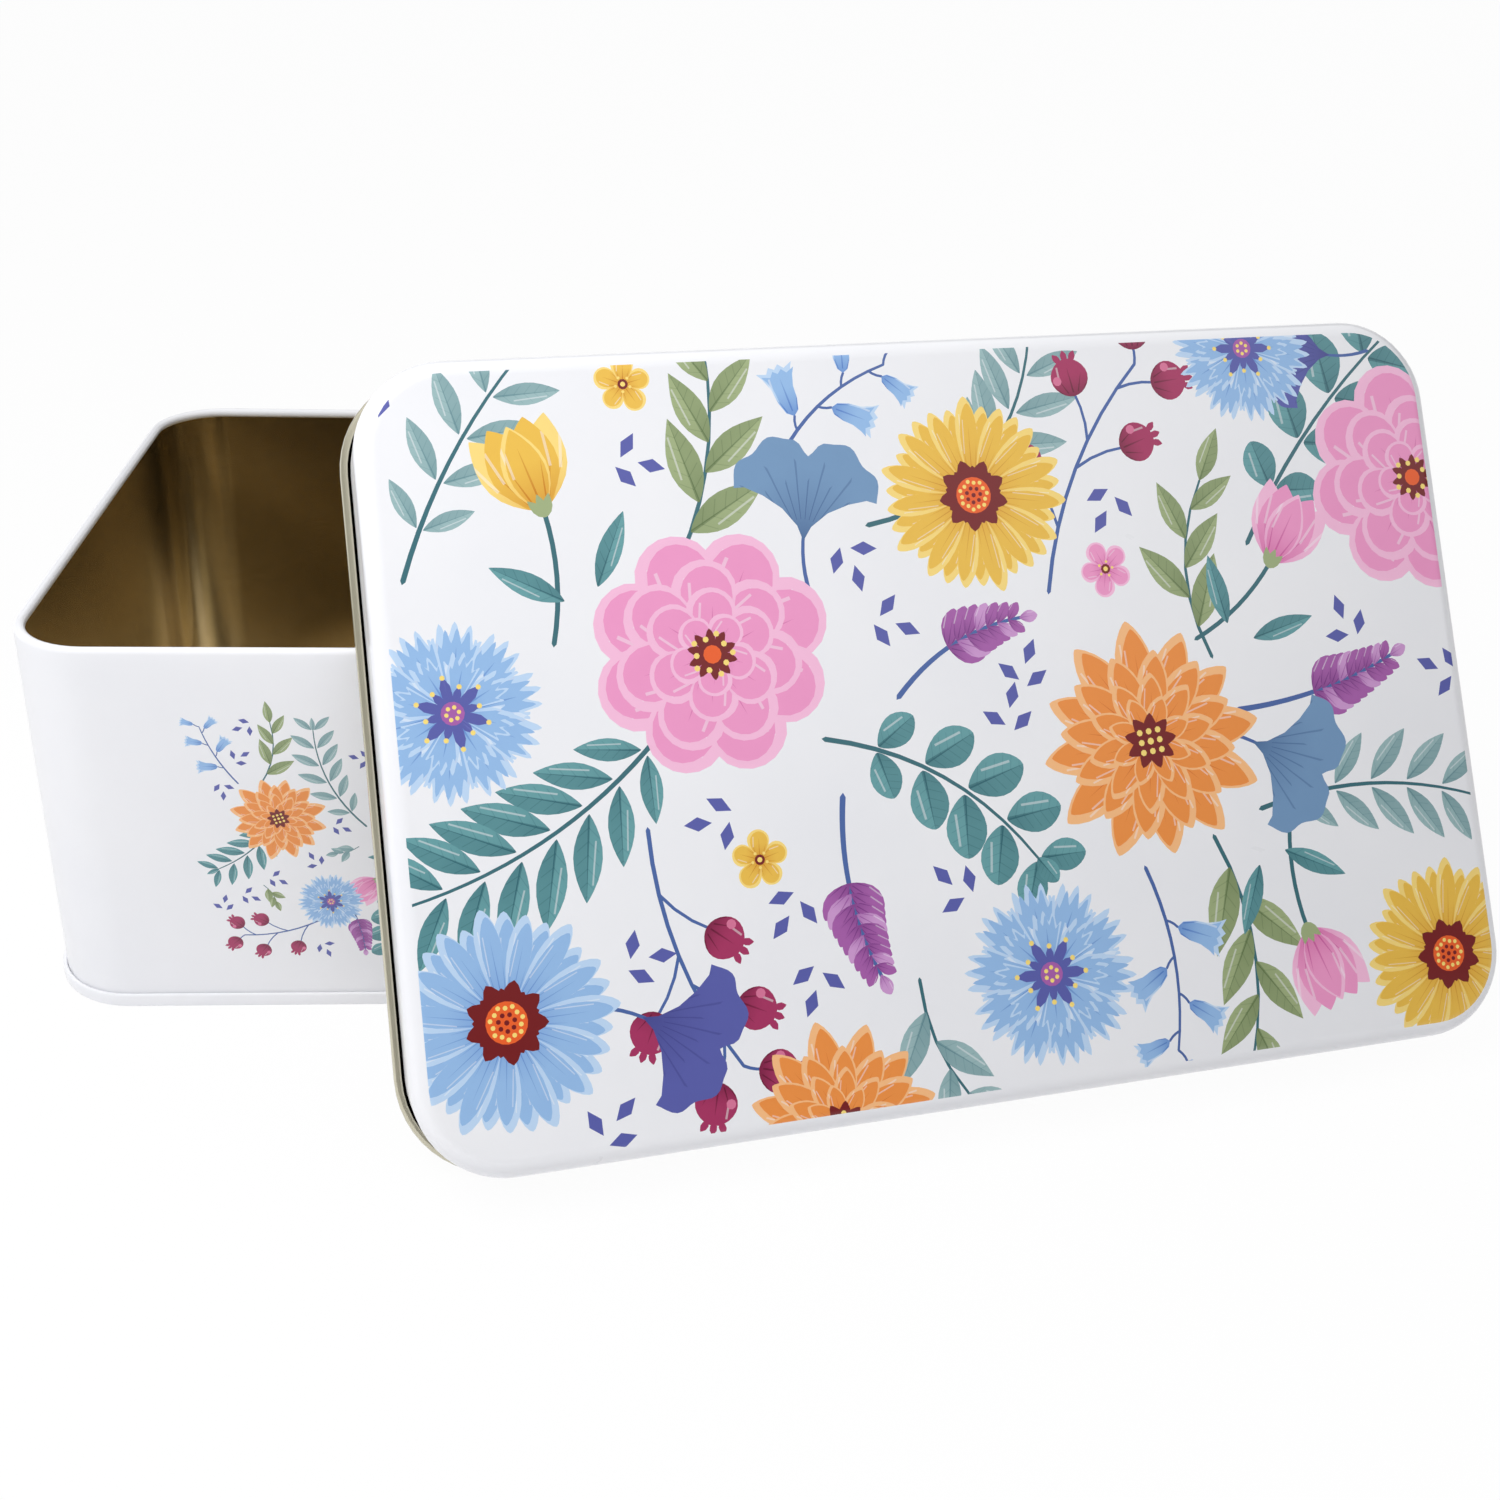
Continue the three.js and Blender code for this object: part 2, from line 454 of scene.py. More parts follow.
# Stations round the plan, anticlockwise from the right, each a corner's centre, the way out and the
# corner's radius. backStops are further places along the back.
def cornerStations(length, width, radius, backStops=()):
    stations = []
    for quarter, (sideX, sideY) in enumerate(((1, 1), (-1, 1), (-1, -1), (1, -1))):
        centre = Vector((sideX * (length / 2 - radius), sideY * (width / 2 - radius)))
        for step in range(sheet["cornerSteps"] + 1):
            angle = (quarter + step / sheet["cornerSteps"]) * math.pi / 2
            stations.append((centre, Vector((math.cos(angle), math.sin(angle))), radius))
        if quarter == 0:
            stations += [(Vector((stop, centre.y)), Vector((0, 1)), radius) for stop in backStops]
    return stations


class Skin:
    # Gathers a piece's points and faces, with a finish for each face and ink where it is printed
    def __init__(self):
        self.points, self.faces, self.finishes, self.inks, self.normals = [], [], [], [], {}

    def point(self, place, normal=None):
        self.points.append(place)
        if normal:
            self.normals[len(self.points) - 1] = normal
        return len(self.points) - 1

    def face(self, corners, finish, ink=None):
        self.faces.append(corners)
        self.finishes.append(finish)
        self.inks.append(ink)

    # Carries an outline round the stations; a strip that skips() picks is left open.
    # The finishes are those of the far side, the near side and any side marked 2.
    def sweep(self, stations, outline, finishes, closed, relief=None, skips=None):
        grid = []
        for index, (centre, way, radius) in enumerate(stations):
            row = []
            for spot, side in outline:
                out = spot.x + (relief(centre.x, spot.y, side) if relief else 0)
                flat = centre + way * (radius + out)
                row.append(self.point(Vector((flat.x, flat.y, spot.y))))
            grid.append(row)
        count = len(outline)
        for index, row in enumerate(grid):
            following = grid[(index + 1) % len(grid)]
            for step in range(count if closed else count - 1):
                after = (step + 1) % count
                if skips and skips(index, step):
                    continue
                sides = (outline[step][1], outline[after][1])
                finish = finishes[2 if 2 in sides else min(sides)]
                self.face((row[step], following[step], following[after], row[after]), finish)
        return grid

    def piece(self, name, body, finishes, placed, nodes):
        mesh = bpy.data.meshes.new(name)
        mesh.from_pydata([placed @ point for point in self.points], [], self.faces)
        for finish in finishes:
            mesh.materials.append(finish)
        mesh.polygons.foreach_set("material_index", self.finishes)
        mesh.polygons.foreach_set("use_smooth", [True] * len(self.faces))
        if any(self.inks):
            self.writeInks(mesh)
        mesh.validate()
        mesh.update()
        if self.normals:
            turn = placed.to_3x3()
            normals = [self.normals.get(index, Vector()) for index in range(len(self.points))]
            mesh.normals_split_custom_set_from_vertices([turn @ normal for normal in normals])
        made = bpy.data.objects.new(name, mesh)
        bpy.context.scene.collection.objects.link(made)
        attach(made, body)
        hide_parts(*nodes)
        print(name, len(self.points), "points", len(self.faces), "faces")
        return made

    def writeInks(self, mesh):
        colours, deeps, places = [], [], []
        for corners, ink in zip(self.faces, self.inks):
            for corner in corners:
                if ink is None:
                    colours.extend((1, 1, 1, 0))
                    deeps.extend((1, 1, 1, 1))
                    places.extend((0, 0, 0))
                else:
                    patch, spots = ink
                    spot = (spots[corner] - patch["root"]) / (patch["tip"] - patch["root"])
                    across = spot.imag * abs(patch["tip"] - patch["root"]) / patch["half"]
                    colours.extend((*patch["ink"], 1))
                    deeps.extend((*patch["deep"], 1))
                    places.extend((spot.real, across, patch["style"]))
        for name, kind, key, values in (
            ("inkColour", "FLOAT_COLOR", "color", colours),
            ("deepColour", "FLOAT_COLOR", "color", deeps),
            ("inkPlace", "FLOAT_VECTOR", "vector", places),
        ):
            mesh.attributes.new(name, kind, "CORNER").data.foreach_set(key, values)

    # Lays a printed sheet inside a border whose points the piece already has. onto() gives a spot's
    # place and normal; rings are further lines that the sheet has to follow.
    def printed(self, border, borderSpots, rings, window, art, onto, finish):
        spots = list(borderSpots)
        loops = [list(range(len(spots)))]
        for ring in rings + [window] + [patch["outline"] for patch in art.patches]:
            area = sum((a.conjugate() * b).imag for a, b in zip(ring, ring[1:] + ring[:1]))
            start = len(spots)
            spots.extend(ring if area > 0 else ring[::-1])
            loops.append(list(range(start, len(spots))))
        windowLoop = len(rings) + 1
        flatPoints = [Vector((spot.real, spot.imag)) for spot in spots]
        insideOnly, sameSpot = 1, 1e-7
        cut = delaunay_2d_cdt(flatPoints, [], loops, insideOnly, sameSpot, True)
        flat, _, triangles, origins, _, covers = cut
        where, flatSpots = {}, {}
        for corners, cover in zip(triangles, covers):
            if 0 not in cover:
                continue
            for corner in corners:
                if corner not in where:
                    onBorder = [source for source in origins[corner] if source < len(border)]
                    spot = complex(*flat[corner])
                    where[corner] = border[onBorder[0]] if onBorder else self.point(*onto(spot))
                    flatSpots[where[corner]] = spot
            top = max(cover)
            inked = windowLoop in cover and top > windowLoop
            ink = (art.patches[top - windowLoop - 1], flatSpots) if inked else None
            self.face([where[corner] for corner in corners], finish, ink)


print("finishes and sheet tools ready")

# Print: outlines are complex numbers in millimetres, along the printed face and up it
inks = {
    "pink": ((0.93, 0.60, 0.78), (0.80, 0.36, 0.62)),
    "pinkRim": ((0.96, 0.74, 0.86), (0.88, 0.52, 0.74)),
    "yellow": ((0.92, 0.74, 0.30), (0.79, 0.50, 0.10)),
    "yellowRim": ((0.97, 0.85, 0.50), (0.88, 0.66, 0.22)),
    "orange": ((0.93, 0.57, 0.27), (0.80, 0.35, 0.10)),
    "orangeRim": ((0.97, 0.74, 0.52), (0.91, 0.53, 0.25)),
    "sky": ((0.58, 0.73, 0.90), (0.33, 0.50, 0.78)),
    "skyRim": ((0.74, 0.84, 0.95), (0.50, 0.66, 0.87)),
    "slate": ((0.45, 0.59, 0.74), (0.27, 0.40, 0.58)),
    "teal": ((0.40, 0.62, 0.64), (0.18, 0.39, 0.43)),
    "mist": ((0.60, 0.72, 0.73), (0.38, 0.54, 0.57)),
    "sage": ((0.62, 0.68, 0.50), (0.38, 0.46, 0.29)),
    "plum": ((0.65, 0.37, 0.66), (0.46, 0.20, 0.50)),
    "plumRim": ((0.80, 0.60, 0.81), (0.60, 0.33, 0.63)),
    "berry": ((0.65, 0.20, 0.38), (0.40, 0.06, 0.20)),
    "berryRim": ((0.84, 0.46, 0.60), (0.65, 0.20, 0.38)),
    "indigo": ((0.35, 0.37, 0.66), (0.26, 0.27, 0.54)),
    "stalkTeal": ((0.22, 0.42, 0.46), (0.22, 0.42, 0.46)),
    "stalkBlue": ((0.29, 0.40, 0.64), (0.29, 0.40, 0.64)),
    "maroon": ((0.46, 0.11, 0.12), (0.34, 0.05, 0.08)),
    "coral": ((0.92, 0.38, 0.16), (0.78, 0.24, 0.11)),
    "cream": ((0.97, 0.86, 0.48), (0.94, 0.76, 0.36)),
}


class Print:
    def __init__(self, scale=1.0, centre=0j):
        self.scale, self.centre = scale, centre
        self.patches, self.blooms = [], []

    def placed(self, spot):
        return self.centre + self.scale * spot

    def add(self, outline, ink, style=plainStyle, root=0j, tip=1 + 0j, half=1.0):
        colour, deep = inks[ink]
        self.patches.append({
            "outline": [self.placed(spot) for spot in outline],
            "ink": linear(colour),
            "deep": linear(deep),
            "style": style,
            "root": self.placed(root),
            "tip": self.placed(tip),
            "half": half * self.scale,
        })

    # Sets a unit outline that points along the real axis
    def stamp(self, outline, at, turn, size, ink, style=plainStyle, half=0.5, flip=1):
        way = cmath.rect(size, turn)
        turned = [at + way * complex(spot.real, spot.imag * flip) for spot in outline]
        self.add(turned, ink, style, at, at + way, half * size * flip)

    def dot(self, at, size, ink, steps=12):
        angles = (2 * math.pi * step / steps for step in range(steps))
        self.add([at + cmath.rect(size / 2, angle) for angle in angles], ink)

    def stalk(self, spine, thick, thin, ink):
        left, right = [], []
        for index, spot in enumerate(spine):
            width = thick + (thin - thick) * index / (len(spine) - 1)
            side = cmath.rect(width / 2, wayAlong(spine, index) + math.pi / 2)
            left.append(spot + side)
            right.append(spot - side)
        roundness = 0.7
        nose = spine[-1] + cmath.rect(thin * roundness, wayAlong(spine, len(spine) - 1))
        tail = spine[0] - cmath.rect(thick * roundness, wayAlong(spine, 0))
        self.add([tail] + left + [nose] + right[::-1], ink)

    # True where a round place is clear of all that is printed so far
    def clear(self, at, radius):
        spot, reach = self.placed(at), self.scale * radius
        if any(abs(spot - bloom) < size + reach for bloom, size in self.blooms):
            return False
        points = (point for patch in self.patches for point in patch["outline"])
        return not any(abs(spot - point) < reach for point in points)

    def bloom(self, at, radius):
        self.blooms.append((self.placed(at), self.scale * radius))


# A petal of length 1, wide to either side. It is widest nearer its tip where lean is over 1, and
# rounder where blunt is smaller.
def petalOutline(wide, lean, blunt, steps=12):
    side = []
    for step in range(1, steps):
        share = (1 - math.cos(math.pi * step / steps)) / 2
        side.append(complex(share, wide * math.sin(math.pi * share ** lean) ** blunt))
    return [0j] + [spot.conjugate() for spot in side] + [1 + 0j] + side[::-1]


# A fan that opens by spread to either side, with a wavy edge and a notch in its middle
def fanOutline(spread, waves, depth, notch, steps):
    notchWidth, sideLoss = 0.1, 0.16
    outline = [0j]
    for step in range(steps + 1):
        share = 2 * step / steps - 1
        reach = 1 + depth * (math.cos(waves * math.pi * share) - 1)
        reach -= notch * math.exp(-(share / notchWidth) ** 2)
        outline.append(cmath.rect(reach * (1 - sideLoss * abs(share) ** 3), spread * share))
    return outline


def bend(start, end, bow, count):
    middle = (start + end) / 2 + 1j * (end - start) * bow
    shares = [step / count for step in range(count + 1)]
    return [(1 - s) ** 2 * start + 2 * s * (1 - s) * middle + s * s * end for s in shares]


def wayAlong(spine, index):
    return cmath.phase(spine[min(index + 1, len(spine) - 1)] - spine[max(index - 1, 0)])


# A petal's paler rim shows on one side: the petal on top is narrower, shorter and turned a little.
petal = {
    "unevenness": 0.04,
    "innerWidth": 0.86,
    "innerLength": 0.93,
    "innerTurn": 0.035,
}


# Rings of petals from the outside in, each with its count, length, turn, width and lean
def petalRings(art, at, radius, turn, ink, blunt, rings):
    for count, length, twist, wide, lean in rings:
        for index in range(count):
            angle = turn + twist + 2 * math.pi * index / count
            grown = radius * length * (1 + petal["unevenness"] * math.sin(7 * angle + index))
            outer = petalOutline(wide, lean, blunt)
            inner = petalOutline(wide * petal["innerWidth"], lean, blunt)
            innerSize = grown * petal["innerLength"]
            art.stamp(outer, at, angle, grown, ink + "Rim", petalStyle, wide)
            art.stamp(inner, at, angle - petal["innerTurn"], innerSize, ink, petalStyle, wide)


# Small teeth round the heart, longer and shorter by turns
def teeth(art, at, turn, ink, count, short, long, wide, lean, steps=5):
    for index in range(count):
        outline = petalOutline(wide, lean, 0.8, steps)
        size = long if index % 2 else short
        art.stamp(outline, at, turn + 2 * math.pi * index / count, size, ink)


def stamens(art, at, count, near, far, turn, size, ink="cream"):
    for index in range(count):
        reach = far if index % 2 else near
        art.dot(at + cmath.rect(reach, turn + 2 * math.pi * index / count), size, ink, 7)


def daisy(art, at, radius, turn, ink):
    petalRings(art, at, radius, turn, ink, 0.6, (
        (15, 0.95, 0, 0.115, 1.7),
        (15, 1, 0.21, 0.115, 1.7),
    ))
    teeth(art, at, turn, "maroon", 18, radius * 0.31, radius * 0.38, 0.26, 1.3)
    art.dot(at, radius * 0.38, "coral", 20)
    stamens(art, at, 14, radius * 0.15, radius * 0.13, turn, radius * 0.045)
    stamens(art, at, 7, radius * 0.075, radius * 0.075, turn, radius * 0.045, "maroon")
    art.dot(at, radius * 0.05, "maroon", 7)
    art.bloom(at, radius)


def camellia(art, at, radius, turn, ink):
    petalRings(art, at, radius, turn, ink, 0.5, (
        (8, 1, 0, 0.33, 1.9),
        (7, 0.78, 0.35, 0.35, 1.8),
        (6, 0.56, 0.1, 0.38, 1.7),
        (5, 0.35, 0.6, 0.42, 1.6),
    ))
    teeth(art, at, turn, "maroon", 10, radius * 0.21, radius * 0.21, 0.2, 1.3)
    stamens(art, at, 10, radius * 0.13, radius * 0.17, turn + 0.3, radius * 0.05)
    art.dot(at, radius * 0.15, "coral", 12)
    art.bloom(at, radius)


def dahlia(art, at, radius, turn, ink):
    petalRings(art, at, radius, turn, ink, 0.72, (
        (12, 1, 0, 0.17, 1.35),
        (12, 0.80, 0.26, 0.19, 1.3),
        (10, 0.59, 0.1, 0.21, 1.3),
        (8, 0.40, 0.3, 0.24, 1.25),
    ))
    teeth(art, at, turn, "maroon", 9, radius * 0.24, radius * 0.24, 0.24, 1.2)
    stamens(art, at, 8, radius * 0.085, radius * 0.12, turn, radius * 0.055)
    art.dot(at, radius * 0.06, "cream", 8)
    art.bloom(at, radius)


def cornflower(art, at, radius, turn, ink):
    floret, innerFloret = (fanOutline(spread, 4, 0.09, 0, 24) for spread in (0.36, 0.29))
    for ring, (count, length) in enumerate(((10, 1.0), (8, 0.68))):
        size = radius * length
        innerSize = size * petal["innerLength"]
        for index in range(count):
            angle = turn + 2 * math.pi * (index + 0.4 * ring) / count
            art.stamp(floret, at, angle, size, ink + "Rim", petalStyle, 0.42)
            art.stamp(innerFloret, at, angle - 0.03, innerSize, ink, petalStyle, 0.42)
    teeth(art, at, turn, "indigo", 12, radius * 0.30, radius * 0.40, 0.16, 1.5, 6)
    stamens(art, at, 12, radius * 0.30, radius * 0.40, turn, radius * 0.06)
    art.dot(at, radius * 0.26, "plum", 14)
    stamens(art, at, 6, radius * 0.07, radius * 0.07, turn, radius * 0.05)
    art.bloom(at, radius * 0.96)


def blossom(art, at, radius, turn, ink):
    petalRings(art, at, radius, turn, ink, 0.5, ((5, 1, 0, 0.38, 1.6),))
    art.dot(at, radius * 0.36, "maroon", 10)
    stamens(art, at, 5, radius * 0.26, radius * 0.26, turn + 0.6, radius * 0.11)
    art.dot(at, radius * 0.18, "cream", 8)


def tulip(art, at, size, turn, ink):
    rim = ink + "Rim"
    foot = at - cmath.rect(size * 1.3, turn - 0.35)
    art.stalk(bend(foot, at, -0.12, 8), size * 0.05, size * 0.05, "stalkTeal")
    for side in (1, -1):
        neck = at - cmath.rect(size * 0.9, turn - 0.2 * side)
        leaf = petalOutline(0.15, 0.9, 0.9)
        art.stamp(leaf, neck, turn + side * 0.75, size * 0.8, "teal", leafStyle, 0.15, side)
    for side in (1, -1):
        outer = petalOutline(0.24, 1.0, 0.9)
        art.stamp(outer, at, turn + side * 0.42, size * 0.98, rim, petalStyle, 0.3, side)
    for side in (1, -1):
        inner = petalOutline(0.27, 1.0, 0.85)
        art.stamp(inner, at, turn + side * 0.20, size * 0.95, ink, petalStyle, 0.3, side)
    art.stamp(petalOutline(0.25, 0.95, 0.85), at, turn, size * 0.9, rim, petalStyle, 0.3)
    art.stamp(petalOutline(0.22, 0.95, 0.85), at, turn - 0.02, size * 0.86, ink, petalStyle, 0.3)
    cup = at + cmath.rect(size * 0.06, turn + math.pi)
    for side in (1, 0, -1):
        art.stamp(petalOutline(0.22, 0.8, 0.9, 6), cup, turn + side * 0.5, size * 0.24, "sage")


def bells(art, start, end, bow, size, ink):
    spine = bend(start, end, bow, 10)
    art.stalk(spine, size * 0.08, size * 0.05, "stalkBlue")
    edge = [0j, 0.10 - 0.13j, 0.34 - 0.2j, 0.62 - 0.22j, 0.86 - 0.30j, 1.0 - 0.38j, 0.93 - 0.19j]
    edge += [1.04 - 0.10j, 0.96 + 0j]
    bell = edge + [spot.conjugate() for spot in edge[-2:0:-1]]
    innerBell = [spot * 0.9 for spot in bell]
    for count, index in enumerate((3, 5, 7, 9, 10)):
        side = -1 if count % 2 else 1
        hang = wayAlong(spine, index) + side * 0.8
        neck = spine[index] + cmath.rect(size * 0.28, hang)
        art.stalk(bend(spine[index], neck, 0.15 * side, 3), size * 0.05, size * 0.05, "stalkBlue")
        grown = size * (1 - 0.09 * count)
        angle = hang + side * 0.25
        art.stamp(bell, neck, angle, grown, ink + "Rim", petalStyle, 0.4)
        art.stamp(innerBell, neck, angle - 0.04, grown, ink, petalStyle, 0.4)


def spike(art, start, end, bow, size, ink, rows=9):
    spine = bend(start, end, bow, 2 * rows)
    floret, top = (petalOutline(wide, 1.2, 0.7, 8) for wide in (0.27, 0.32))
    art.stalk(spine, size * 0.14, size * 0.08, "stalkBlue")
    for row in range(rows):
        index = rows + row - 1
        grown = size * (1 - 0.55 * row / rows)
        for side in (1, -1):
            tint = ink if (row + side) % 4 else ink + "Rim"
            angle = wayAlong(spine, index) + side * 0.8
            art.stamp(floret, spine[index], angle, grown, tint, petalStyle, 0.34)
    last = wayAlong(spine, len(spine) - 1)
    art.stamp(top, spine[-2], last, size * 0.5, ink + "Rim", petalStyle, 0.34)


def berries(art, start, end, bow, size, ink):
    spine = bend(start, end, bow, 8)
    art.stalk(spine, size * 0.11, size * 0.08, "stalkBlue")
    for index, side, reach in ((2, 1, 1.5), (4, -1, 1.5), (5, 1, 1.3), (7, -1, 1.1), (8, 1, 0.5)):
        angle = wayAlong(spine, index) + side * 0.75
        far = spine[index] + cmath.rect(size * reach, angle)
        art.stalk(bend(spine[index], far, -0.12 * side, 3), size * 0.08, size * 0.07, "stalkBlue")
        foot = far - cmath.rect(size * 0.12, angle)
        art.stamp(petalOutline(0.52, 1.0, 0.5), foot, angle, size, ink, petalStyle, 0.52)
        art.dot(far + cmath.rect(size * 0.5, angle + 0.8), size * 0.24, ink + "Rim", 9)
        for tooth in (-0.35, 0, 0.35):
            crown = far + cmath.rect(size * 0.78, angle + tooth * 0.5)
            art.stamp(petalOutline(0.3, 1, 0.9, 5), crown, angle + tooth * 1.6, size * 0.32, ink)


# Leaves in pairs along a stalk: a fern when they are narrow, round ones when they are wide
def leafPairs(art, start, end, bow, size, ink, pairs, wide=0.17, spread=0.85):
    spine = bend(start, end, bow, 2 * pairs)
    art.stalk(spine, 0.9, 0.45, "stalkTeal")
    blunt, lean = (0.9, 0.95) if wide < 0.3 else (0.6, 1.15)
    leaf = petalOutline(wide, lean, blunt)
    for pair in range(pairs):
        index = 2 * pair + 2
        grown = size * math.sin(math.pi * (0.25 + 0.62 * pair / pairs)) ** 0.8
        for side in (1, -1):
            angle = wayAlong(spine, index) + side * spread
            neck = spine[index] + cmath.rect(grown * 0.08, angle)
            art.stamp(leaf, neck, angle, grown, ink, leafStyle, wide, side)
    last = wayAlong(spine, 2 * pairs)
    art.stamp(leaf, spine[-1], last, size * 0.5, ink, leafStyle, wide)


def willow(art, start, end, bow, size, ink, leaves, wide=0.19):
    spine = bend(start, end, bow, leaves + 1)
    leaf = petalOutline(wide, 0.85, 1.0)
    art.stalk(spine, size * 0.05, size * 0.03, "stalkTeal")
    for index in range(leaves):
        side = 1 if index % 2 else -1
        angle = wayAlong(spine, index + 1) + side * 0.62
        grown = size * (1 - 0.3 * index / leaves)
        art.stamp(leaf, spine[index + 1], angle, grown, ink, leafStyle, wide, side)
    last = wayAlong(spine, leaves + 1)
    art.stamp(leaf, spine[-1], last, size * 0.75, ink, leafStyle, wide)


def fanLeaf(art, at, size, turn, ink):
    foot = at - cmath.rect(size * 0.5, turn + 0.2)
    spine = bend(foot, at + cmath.rect(size * 0.1, turn), 0.12, 6)
    art.stalk(spine, size * 0.04, size * 0.03, "stalkBlue")
    edge = ((0.15, 0.45), (0.35, 0.66), (0.55, 0.82), (0.72, 0.93))
    edge = [cmath.rect(reach, -angle) for reach, angle in edge]
    lobes = [0j] + edge + fanOutline(1.02, 5, 0.03, 0.22, 40)[1:]
    lobes += [spot.conjugate() for spot in edge[::-1]]
    art.stamp(lobes, at, turn, size, ink, fanStyle, 1)
    art.bloom(at + cmath.rect(size * 0.55, turn), size * 0.55)


def sprinkle(art, at, size, turn):
    for step in range(3):
        centre = at + cmath.rect(size * 0.75, turn + step * 2.2)
        spin = cmath.rect(size, turn + step * 1.3)
        art.add([centre + spin * spot for spot in (0.6 + 0j, 0.3j, -0.6 + 0j, -0.3j)], "indigo")


# Fills what is left with small things, the widest first, each clear of the rest
def fillGaps(art, halfLength, halfHeight, seed):
    dice = random.Random(seed)

    def sprig(at, turn):
        ink = dice.choice(("sage", "mist", "teal"))
        willow(art, at - cmath.rect(7, turn), at + cmath.rect(3, turn), 0.15, 7.5, ink, 3, 0.24)

    def smallBlossom(at, turn):
        blossom(art, at, 5.0, turn, dice.choice(("sky", "plum", "pink", "yellow")))

    def marks(at, turn):
        sprinkle(art, at, 4.0, turn)

    for radius, tries, draw in ((9.5, 260, sprig), (7.0, 300, smallBlossom), (5.3, 1200, marks)):
        for _ in range(tries):
            along = dice.uniform(-halfLength, halfLength)
            at = complex(along, dice.uniform(-halfHeight, halfHeight))
            turn = dice.uniform(0, 2 * math.pi)
            if art.clear(at, radius):
                draw(at, turn)


def lidPrint():
    art = Print()
    leafPairs(art, -52 + 4j, -98 - 22j, 0.16, 15, "teal", 8)
    leafPairs(art, -14 + 34j, 20 + 66j, -0.35, 13, "mist", 7)
    leafPairs(art, -26 - 2j, 10 - 26j, 0.2, 11, "teal", 5, 0.34, 0.95)
    leafPairs(art, 58 + 26j, 96 + 66j, 0.1, 12, "teal", 5, 0.36, 0.95)
    leafPairs(art, 54 - 22j, 98 - 24j, 0.15, 12, "mist", 6)
    leafPairs(art, -94 + 30j, -72 + 66j, 0.1, 12, "mist", 5)
    willow(art, -48 + 30j, -40 + 66j, -0.15, 16, "sage", 6)
    willow(art, 44 - 26j, 46 - 66j, 0.2, 16, "sage", 6)
    willow(art, -14 - 44j, -4 - 68j, -0.2, 13, "mist", 4)
    willow(art, 48 + 6j, 50 + 38j, 0.25, 14, "sage", 5)
    berries(art, -58 - 14j, -46 - 54j, -0.15, 7, "berry")
    berries(art, 18 + 20j, 40 + 60j, 0.15, 7, "berry")
    spike(art, 52 - 4j, 86 + 4j, -0.1, 7.5, "plum")
    spike(art, -24 - 12j, -20 - 44j, -0.15, 7.5, "plum")
    spike(art, -12 + 4j, 14 + 16j, 0.2, 7, "plum", 7)
    bells(art, 30 - 30j, 32 - 62j, 0.15, 9, "sky")
    bells(art, -30 + 44j, -8 + 62j, 0.2, 9, "sky")
    tulip(art, -70 + 40j, 17, 1.9, "yellow")
    tulip(art, 60 - 44j, 16, -1.2, "pink")
    tulip(art, 62 + 22j, 16, 1.0, "pink")
    fanLeaf(art, -26 + 32j, 19, 1.4, "slate")
    fanLeaf(art, 54 - 10j, 19, -0.5, "slate")
    fanLeaf(art, -62 - 44j, 18, -0.5, "indigo")
    fanLeaf(art, 80 + 60j, 16, 3.0, "indigo")
    camellia(art, -44 + 14j, 21, 0.35, "pink")
    camellia(art, 94 + 36j, 21, 0.2, "pink")
    dahlia(art, 34 - 8j, 21, 0.1, "orange")
    dahlia(art, -30 - 66j, 17, 0.7, "orange")
    daisy(art, 6 + 38j, 17, 0.1, "yellow")
    daisy(art, 88 - 52j, 17, 0, "yellow")
    daisy(art, -84 - 42j, 18, 0.25, "sky")
    cornflower(art, -88 + 8j, 15, 0.2, "sky")
    cornflower(art, 10 - 46j, 16, 0.5, "sky")
    cornflower(art, 62 + 62j, 14, 0.5, "sky")
    fillGaps(art, 97, 64, 5)
    return art


